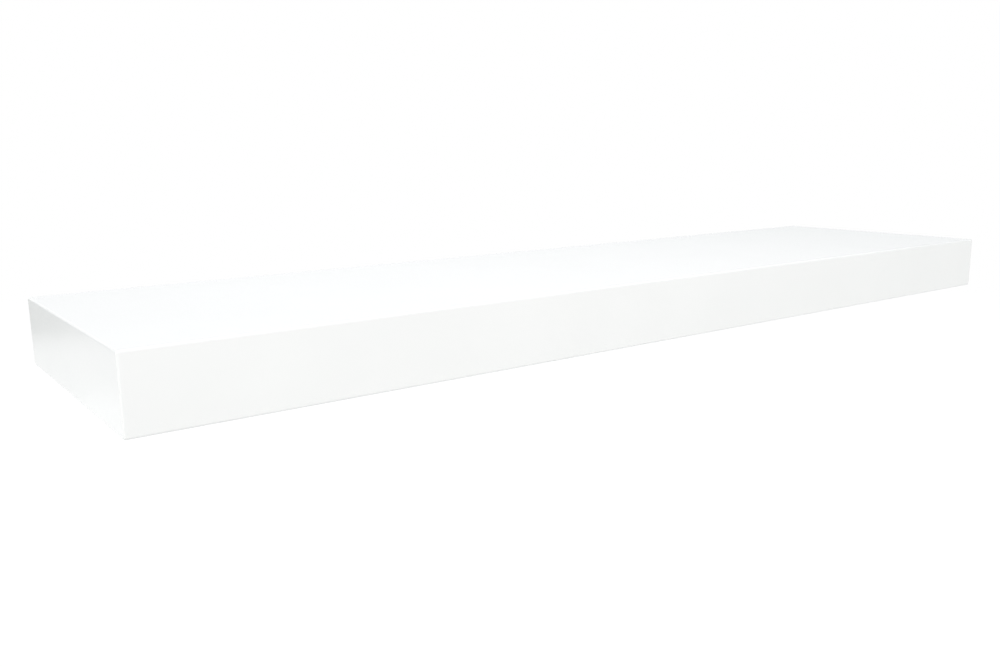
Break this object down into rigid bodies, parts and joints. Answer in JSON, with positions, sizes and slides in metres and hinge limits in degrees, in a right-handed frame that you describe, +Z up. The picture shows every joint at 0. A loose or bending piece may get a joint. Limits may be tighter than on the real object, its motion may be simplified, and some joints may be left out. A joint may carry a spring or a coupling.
{
  "type": "floating wall shelf",
  "caption": "Plain white box-section floating shelf that slides on to a concealed steel rod bracket and is locked from below by socket screws.",
  "frame": {"origin": "on the wall face, at the middle of the bracket bar's back, halfway up the shelf's thickness", "axes": "+X to the right along the shelf seen from the front, +Y into the wall, +Z up"},
  "size_m": [0.914, 0.235, 0.051],
  "materials": {
    "white_foil": "satin white foil",
    "fibreboard": "raw medium-density fibreboard",
    "particleboard": "raw particleboard",
    "honeycomb_paper": "kraft paper",
    "zinc_steel": "bright zinc plate",
    "insert_brass": "turned brass",
    "screw_steel": "black oxide"
  },
  "bodies": {
    "wall_bracket": {"mounting_bar": "zinc_steel", "support_rod_1": "zinc_steel", "support_rod_2": "zinc_steel", "support_rod_3": "zinc_steel", "support_rod_4": "zinc_steel"},
    "shelf": {"foil_wrap": "white_foil", "left_end_foil": "white_foil", "right_end_foil": "white_foil", "top_panel": "fibreboard", "bottom_panel": "fibreboard", "front_panel": "fibreboard", "left_end_panel": "fibreboard", "right_end_panel": "fibreboard", "back_rail": "particleboard", "front_rail": "particleboard", "left_end_rail": "particleboard", "right_end_rail": "particleboard", "rod_rail_1": "particleboard", "rod_rail_2": "particleboard", "rod_rail_3": "particleboard", "rod_rail_4": "particleboard", "honeycomb_core_1": "honeycomb_paper", "honeycomb_core_2": "honeycomb_paper", "honeycomb_core_3": "honeycomb_paper", "honeycomb_core_4": "honeycomb_paper", "honeycomb_core_5": "honeycomb_paper", "left_threaded_insert": "insert_brass", "right_threaded_insert": "insert_brass"},
    "left_locking_screw": {"left_locking_screw": "screw_steel"},
    "right_locking_screw": {"right_locking_screw": "screw_steel"}
  },
  "joints": [
    {"name": "shelf_slide", "type": "slide", "parent": "wall_bracket", "child": "shelf", "axis": [0, -1, 0], "range_m": [0, 0.16]},
    {"name": "left_screw_travel", "type": "slide", "parent": "shelf", "child": "left_locking_screw", "axis": [0, 0, -1], "range_m": [0, 0.004]},
    {"name": "right_screw_travel", "type": "slide", "parent": "shelf", "child": "right_locking_screw", "axis": [0, 0, -1], "range_m": [0, 0.004]}
  ]
}
